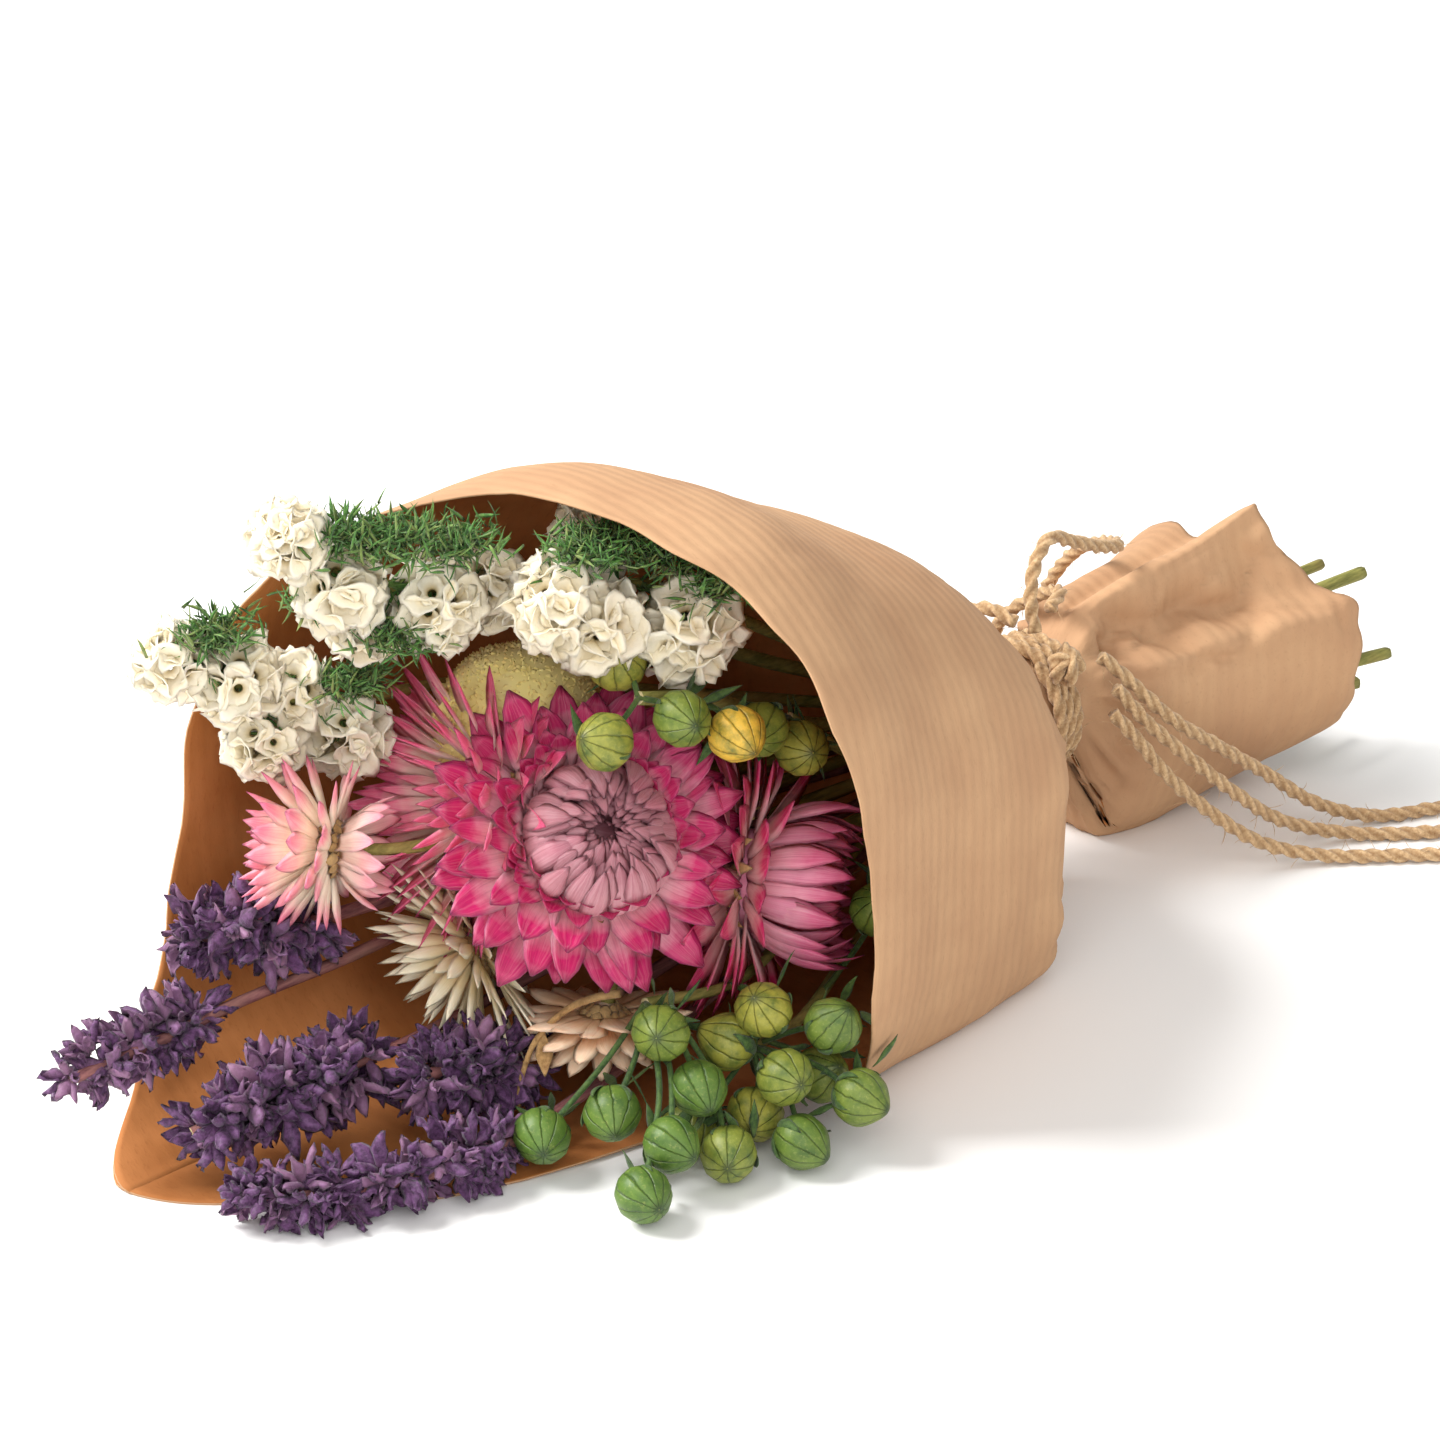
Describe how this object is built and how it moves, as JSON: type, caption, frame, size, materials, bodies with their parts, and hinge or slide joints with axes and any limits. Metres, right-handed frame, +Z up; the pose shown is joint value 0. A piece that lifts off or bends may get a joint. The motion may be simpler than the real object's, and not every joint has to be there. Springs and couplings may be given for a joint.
{
  "type": "bunch of dried flowers",
  "caption": "Posy of dried strawflowers, statice, larkspur and flax, rolled in brown kraft paper and tied with jute twine, lying on its side.",
  "frame": {"origin": "on the flat underside of the paper, below the middle of the mouth, where the bunch rests on a table", "axes": "+Z up from the table; the bunch lies along X, with its flowers towards -X and its stem ends towards +X"},
  "size_m": [0.2324, 0.1055, 0.09],
  "materials": {
    "kraft_paper": "matte",
    "jute": "matte",
    "dry_stem": "matte",
    "magenta_bracts": "satin",
    "pink_bracts": "satin",
    "cream_bracts": "satin",
    "peach_bracts": "satin",
    "yellow_florets": "matte",
    "white_statice": "matte",
    "purple_florets": "matte",
    "flax_pod": "satin"
  },
  "bodies": {
    "root": {"billy_button_head": "yellow_florets", "billy_button_stem": "dry_stem", "flax_front": "flax_pod", "flax_low": "flax_pod", "flax_side": "flax_pod", "flax_upper": "flax_pod", "kraft_wrap": "kraft_paper", "larkspur_back": "purple_florets", "larkspur_inner": "purple_florets", "larkspur_low": "purple_florets", "larkspur_middle": "purple_florets", "larkspur_tip": "purple_florets", "statice_left": "white_statice", "statice_right": "white_statice", "statice_top": "white_statice", "strawflower_cream_head": "cream_bracts", "strawflower_cream_stem": "dry_stem", "strawflower_magenta_head": "magenta_bracts", "strawflower_magenta_stem": "dry_stem", "strawflower_peach_head": "peach_bracts", "strawflower_peach_stem": "dry_stem", "strawflower_pink_head": "pink_bracts", "strawflower_pink_stem": "dry_stem", "strawflower_rose_head": "magenta_bracts", "strawflower_rose_stem": "dry_stem", "strawflower_small_head": "pink_bracts", "strawflower_small_stem": "dry_stem", "twine_far_loop": "jute", "twine_far_tail": "jute", "twine_knot": "jute", "twine_near_loop": "jute", "twine_near_tail": "jute", "twine_turns": "jute"}
  },
  "joints": []
}
